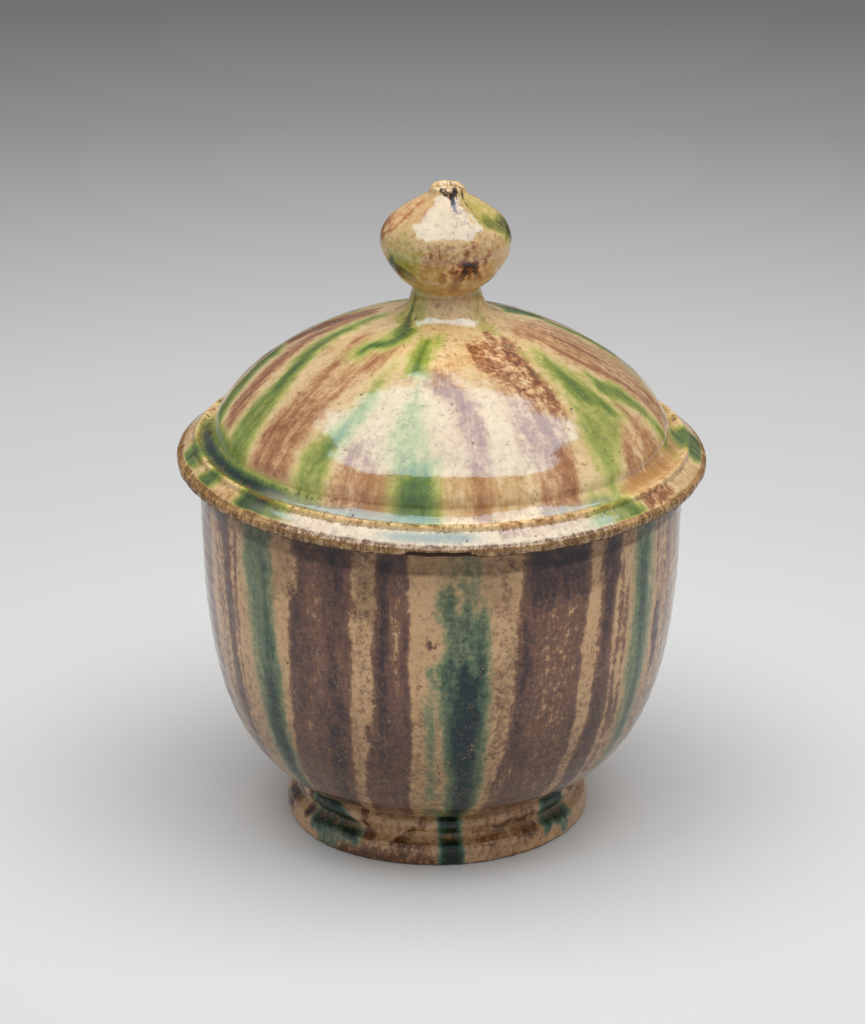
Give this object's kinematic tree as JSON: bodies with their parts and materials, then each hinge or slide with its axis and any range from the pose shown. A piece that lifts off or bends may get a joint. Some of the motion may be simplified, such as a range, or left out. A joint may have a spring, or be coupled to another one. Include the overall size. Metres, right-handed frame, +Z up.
{
  "type": "covered bowl",
  "caption": "Small thrown earthenware bowl on a foot ring, with a domed lift-off cover, an overhanging brim and an onion-shaped knob, under a streaked glossy glaze.",
  "frame": {"origin": "on the table under the foot ring, on the bowl's axis", "axes": "+Z up along the bowl's axis, the pictured front facing -Y, +X to the right of someone looking at the front"},
  "size_m": [0.1, 0.1, 0.1247],
  "materials": {
    "bowl_glaze": "glossy lead glaze, brown and green streaks running down a buff ground",
    "foot_glaze": "glossy lead glaze over buff clay, with green and brown runs",
    "cover_glaze": "glossy lead glaze, brown and green streaks fanning out from the knob on cream",
    "bare_clay": "thinly glazed buff clay, wiped where it could stick in the firing",
    "knob_glaze": "glossy lead glaze with brown and green blots on cream"
  },
  "bodies": {
    "bowl": {"bowl_body": "bowl_glaze", "foot_ring": "foot_glaze"},
    "cover": {"cover_dome": "cover_glaze", "cover_locating_ring": "bare_clay", "knob": "knob_glaze"}
  },
  "joints": [
    {"name": "cover_lift", "type": "slide", "parent": "bowl", "child": "cover", "axis": [0, 0, 1], "range_m": [0, 0.06]}
  ]
}
